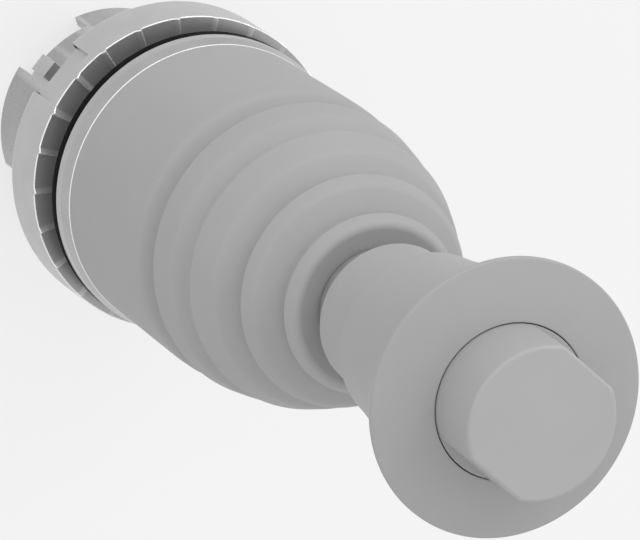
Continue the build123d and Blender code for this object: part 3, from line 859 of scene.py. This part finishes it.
def makeSprings():
    s = springs
    tree = springTree()
    reach = s["plungerCircle"]
    places = {
        "right": (reach, 0.0), "top": (0.0, reach), "left": (-reach, 0.0), "bottom": (0.0, -reach),
    }
    for side, place in places.items():
        makeSpring(
            f"plungerSpring.{side}", tree, place, s["plungerRadius"], s["plungerWire"],
            s["plungerFoot"], s["plungerTop"], f"plunger_spring_{side}",
        )
    makeSpring(
        "buttonSpring", tree, (0.0, 0.0), s["buttonRadius"], s["buttonWire"],
        s["buttonFoot"], s["buttonTop"], "button_spring",
    )


makeSprings()
print("springs made")


# Cast and moulded pieces keep their CAD shape, and get the small edge roundings that a mould leaves

rounded = {
    # node: (piece, finish, slot, body, edge rounding in mm)
    "barrel_housing": ("barrelHousing", "castChrome", "bright_metal", "root", 0.14),
    "gate_ring": ("gateRing", "guidePlastic", "black_plastic", "root", 0.10),
    "plunger_guide": ("plungerGuide", "guidePlastic", "black_plastic", "root", 0.08),
    "lever_hub": ("leverHub", "turnedSteel", "steel", "lever", 0.08),
    "handle_nut": ("handleNut", "turnedSteel", "steel", "lever", 0.10),
    "boot_seat": ("bootSeat", "handlePlastic", "grey_plastic", "lever", 0.08),
}

rounding = {
    "merge": 0.002,  # mm, between points that are one
    "flatAngle": 0.02,  # rad, within which faces are one flat
    "edgeAngle": 40,  # degrees, from which an edge is rounded
    "segments": 2,
}


def roundNode(node, name, finish, slot, body, width):
    shape = bmesh.new()
    shape.from_mesh(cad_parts[node].data)
    bmesh.ops.remove_doubles(shape, verts=shape.verts, dist=rounding["merge"] * mm)
    bmesh.ops.dissolve_limit(
        shape, angle_limit=rounding["flatAngle"], verts=shape.verts, edges=shape.edges,
    )
    mesh = bpy.data.meshes.new(name)
    shape.to_mesh(mesh)
    shape.free()
    piece = finishMesh(name, mesh, materials[finish])
    edge = piece.modifiers.new("edge", "BEVEL")
    edge.width = width * mm
    edge.segments = rounding["segments"]
    edge.limit_method = "ANGLE"
    edge.angle_limit = radians(rounding["edgeAngle"])
    edge.harden_normals = True
    applyModifiers(piece)
    # painted highlight on the cast chrome's narrow edge faces
    if finish == "castChrome":
        paintEdgeHighlights(piece)
    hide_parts(node)
    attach(piece, body)


for node, looks in rounded.items():
    roundNode(node, *looks)
print("cast and moulded pieces rounded:", len(rounded))


# The CAD nodes that stay as they are get their own finishes

nodeFinish = {
    "gate_screws": "turnedSteel", "outer_gimbal_pins": "turnedSteel",
    "inner_gimbal_pins": "turnedSteel", "gimbal_ring": "turnedSteel",
    "lever_tube": "turnedSteel", "swash_plate": "turnedSteel", "swash_clip": "springWire",
    "guide_clip": "springWire", "interlock_rod": "turnedSteel",
    "plunger_right": "plungerPlastic", "plunger_top": "plungerPlastic",
    "plunger_left": "plungerPlastic", "plunger_bottom": "plungerPlastic",
}
for name, finish in nodeFinish.items():
    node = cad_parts[name]
    node.data.materials.clear()
    node.data.materials.append(materials[finish])
print("finishes given to", len(nodeFinish), "CAD nodes")


# Floor, light and world

studio = {
    "floorHeight": -22.1,  # mm
    "floorSize": 3.0,  # m
    "floorSegments": 96, "floorTone": (0.69, 0.71), "floorPatch": 0.01, "floorRough": 0.9,
    "floorWhite": 0.70,  # share of plain white that the camera and the reflections see
    "lightFrom": (0.8, 0.6, 0.0), "domeLight": 1.28, "domeDark": 0.68,
    "lamps": [
        # place in mm, size in mm, watts
        ((600, 150, 330), 300, 0.6),
    ],
    "lampTarget": (0, 0, 30),  # mm
}


def makeFloor():
    shape = bmesh.new()
    bmesh.ops.create_circle(
        shape, cap_ends=True, segments=studio["floorSegments"], radius=studio["floorSize"],
    )
    for vert in shape.verts:
        vert.co.z = studio["floorHeight"] * mm
    mesh = bpy.data.meshes.new("floor")
    shape.to_mesh(mesh)
    shape.free()
    floor = bpy.data.objects.new("floor", mesh)
    bpy.context.scene.collection.objects.link(floor)
    material, tree, shader = newMaterial("paleFloor")
    shader.inputs["Roughness"].default_value = studio["floorRough"]
    shader.inputs["Specular IOR Level"].default_value = 0.0
    patches = noise(tree, millimetreCoords(tree), studio["floorPatch"])
    tree.links.new(greyTint(tree, patches, *studio["floorTone"]), shader.inputs["Base Color"])
    glow = tree.nodes.new("ShaderNodeEmission")
    paths = tree.nodes.new("ShaderNodeLightPath")
    seen = paths.outputs["Is Camera Ray"]
    for other in ("Is Glossy Ray", "Is Transmission Ray"):
        either = tree.nodes.new("ShaderNodeMath")
        either.operation = "MAXIMUM"
        tree.links.new(seen, either.inputs[0])
        tree.links.new(paths.outputs[other], either.inputs[1])
        seen = either.outputs["Value"]
    share = tree.nodes.new("ShaderNodeMath")
    share.operation = "MULTIPLY"
    share.inputs[1].default_value = studio["floorWhite"]
    tree.links.new(seen, share.inputs[0])
    mix = tree.nodes.new("ShaderNodeMixShader")
    tree.links.new(share.outputs["Value"], mix.inputs["Fac"])
    tree.links.new(shader.outputs["BSDF"], mix.inputs[1])
    tree.links.new(glow.outputs["Emission"], mix.inputs[2])
    tree.links.new(mix.outputs["Shader"], tree.nodes["Material Output"].inputs["Surface"])
    mesh.materials.append(material)


def makeLamps():
    target = Vector(studio["lampTarget"]) * mm
    for index, (place, size, watts) in enumerate(studio["lamps"]):
        data = bpy.data.lights.new(f"softbox{index}", "AREA")
        data.shape = "DISK"
        data.size = size * mm
        data.energy = watts
        lamp = bpy.data.objects.new(f"softbox{index}", data)
        lamp.location = Vector(place) * mm
        lamp.rotation_mode = "QUATERNION"
        lamp.rotation_quaternion = (target - lamp.location).to_track_quat("-Z", "Y")
        bpy.context.scene.collection.objects.link(lamp)


def makeWorld():
    # an even dome, lighter on one side
    world = bpy.data.worlds.new("studio")
    bpy.context.scene.world = world
    world.use_nodes = True
    tree = world.node_tree
    backdrop = tree.nodes["Background"]
    coords = tree.nodes.new("ShaderNodeTexCoord")
    towards = tree.nodes.new("ShaderNodeVectorMath")
    towards.operation = "DOT_PRODUCT"
    towards.inputs[1].default_value = studio["lightFrom"]
    tree.links.new(coords.outputs["Generated"], towards.inputs[0])
    share = towards.outputs["Value"]
    tone = spread(tree, share, studio["domeDark"], studio["domeLight"], -1.0, 1.0)
    tree.links.new(tone, backdrop.inputs["Color"])
    backdrop.inputs["Strength"].default_value = 1.0


makeFloor()
makeLamps()
makeWorld()
bpy.context.scene.view_settings.view_transform = "Standard"
print("studio set")
